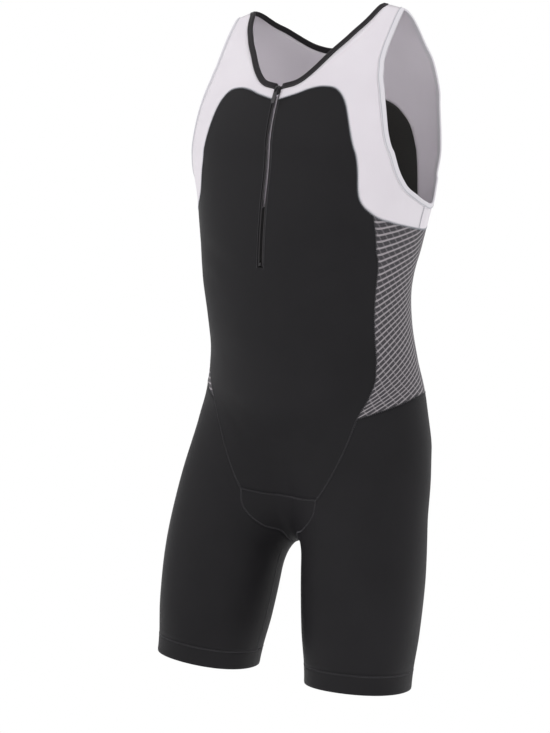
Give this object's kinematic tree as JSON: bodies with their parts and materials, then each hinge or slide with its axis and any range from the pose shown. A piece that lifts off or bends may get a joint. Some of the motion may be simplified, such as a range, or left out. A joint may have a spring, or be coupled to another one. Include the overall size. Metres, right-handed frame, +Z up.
{
  "type": "triathlon suit",
  "caption": "Sleeveless one-piece sports suit with short legs, front zip, side panels and an open neck and armholes, filled out as worn.",
  "frame": {"origin": "midway between the tops of the two shoulder straps, where the suit hangs on a wearer", "axes": "+Z up along the suit's height, front towards -Y, the wearer's left towards +X"},
  "size_m": [0.3716, 0.2943, 0.8955],
  "materials": {
    "black_cloth": "matt knitted stretch cloth",
    "white_cloth": "matt knitted stretch cloth",
    "mesh_cloth": "fine mesh, with pale pinstripes on the side panels",
    "binding_trim": "folded elastic binding and woven zip tape",
    "zip_nylon": "matt nylon coil",
    "zip_metal": "black lacquered metal"
  },
  "bodies": {
    "suit": {"neck_binding": "binding_trim", "armhole_binding_left": "white_cloth", "armhole_binding_right": "white_cloth", "yoke_front_left": "white_cloth", "yoke_front_right": "white_cloth", "yoke_back": "white_cloth", "front_panel": "black_cloth", "back_panel": "mesh_cloth", "side_panel_left": "mesh_cloth", "side_panel_right": "mesh_cloth", "gusset": "black_cloth", "leg_left": "black_cloth", "leg_right": "black_cloth", "hem_band_left": "black_cloth", "hem_band_right": "black_cloth", "zip_tape_left": "binding_trim", "zip_tape_right": "binding_trim", "zip_coil": "zip_nylon", "zip_stop": "zip_metal", "zip_slider": "zip_metal"},
    "pull_tab": {"zip_pull": "zip_metal"}
  },
  "joints": [
    {"name": "pull_tab_swing", "type": "hinge", "parent": "suit", "child": "pull_tab", "pos_m": [0, -0.0859, -0.10275], "axis": [-1, 0, 0], "range_deg": [0, 165]}
  ]
}
